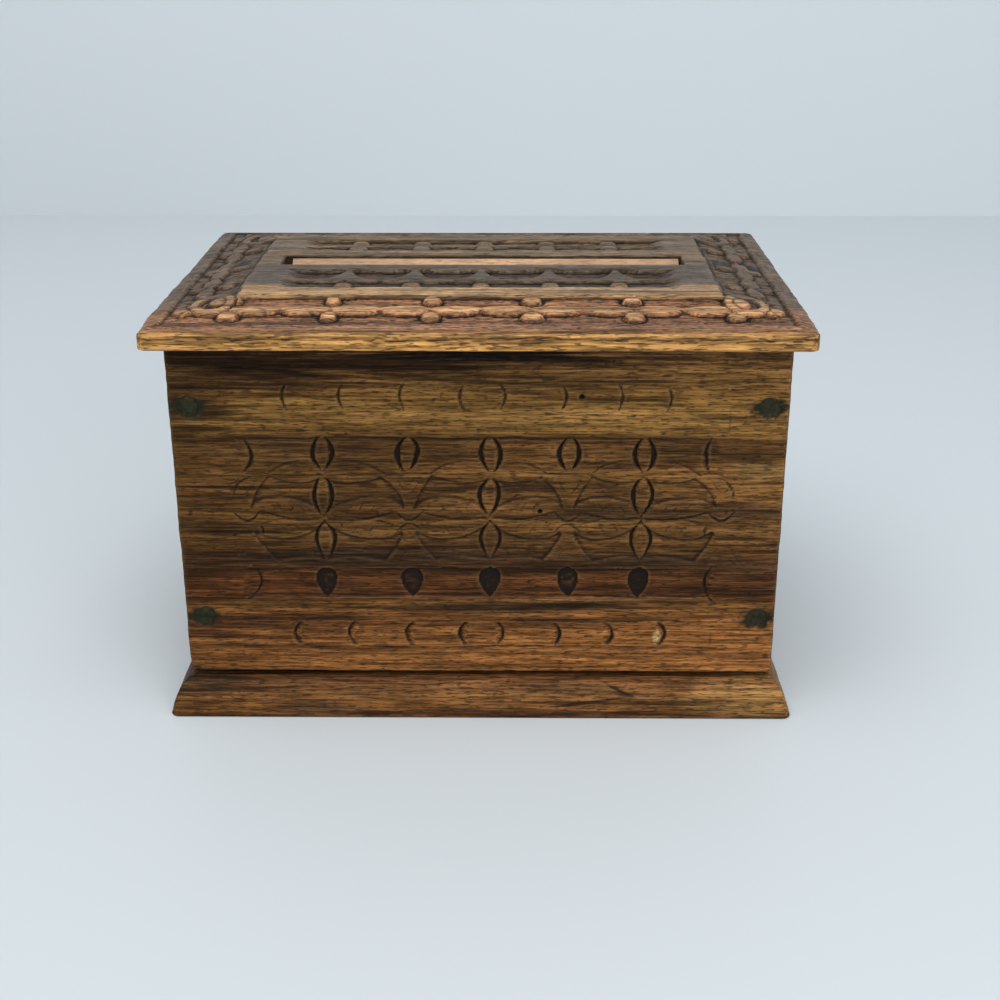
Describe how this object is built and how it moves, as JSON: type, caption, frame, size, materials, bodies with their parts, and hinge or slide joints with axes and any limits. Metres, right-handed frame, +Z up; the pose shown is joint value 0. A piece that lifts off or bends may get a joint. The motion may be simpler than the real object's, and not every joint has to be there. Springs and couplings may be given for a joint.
{
  "type": "cigarette dispenser",
  "caption": "Carved hardwood box on a rounded plinth whose case lifts on a fixed blade, so that a cigarette rises through the slot in its hinged lid.",
  "frame": {"origin": "middle of the plinth's underside, on the table", "axes": "+X along the length, to the right seen from the carved front; +Y to the back, where the hinges are; +Z up, the way the case lifts"},
  "size_m": [0.152, 0.107, 0.1005],
  "materials": {
    "carved_hardwood": "old waxed hardwood with dark and golden figure, hand carved",
    "inner_hardwood": "plain sawn hardwood, unpolished",
    "blade_wood": "pale worn wood, unpolished",
    "peg_wood": "dark stained end grain",
    "hinge_brass": "dull brass",
    "screw_steel": "plain steel"
  },
  "bodies": {
    "plinth": {"base_plate": "carved_hardwood", "lifter_blade": "blade_wood", "blade_screws": "screw_steel"},
    "case": {"front_wall": "carved_hardwood", "back_wall": "carved_hardwood", "left_end_wall": "carved_hardwood", "right_end_wall": "carved_hardwood", "front_wall_pegs": "peg_wood", "back_wall_pegs": "peg_wood", "bottom_board": "inner_hardwood", "left_cheek": "inner_hardwood", "right_cheek": "inner_hardwood", "front_hopper_floor": "inner_hardwood", "back_hopper_floor": "inner_hardwood", "front_guide_rail": "inner_hardwood", "back_guide_rail": "inner_hardwood", "left_hinge_body_leaf": "hinge_brass", "right_hinge_body_leaf": "hinge_brass", "left_hinge_pin": "hinge_brass", "right_hinge_pin": "hinge_brass", "hinge_body_screws": "hinge_brass"},
    "lid": {"lid": "carved_hardwood", "left_hinge_lid_leaf": "hinge_brass", "right_hinge_lid_leaf": "hinge_brass", "hinge_lid_screws": "hinge_brass"}
  },
  "joints": [
    {"name": "case_lift", "type": "slide", "parent": "plinth", "child": "case", "axis": [0, 0, 1], "range_m": [0, 0.076]},
    {"name": "lid_hinge", "type": "hinge", "parent": "case", "child": "lid", "pos_m": [0, 0.0504, 0.093], "axis": [-1, 0, 0], "range_deg": [0, 105]}
  ]
}
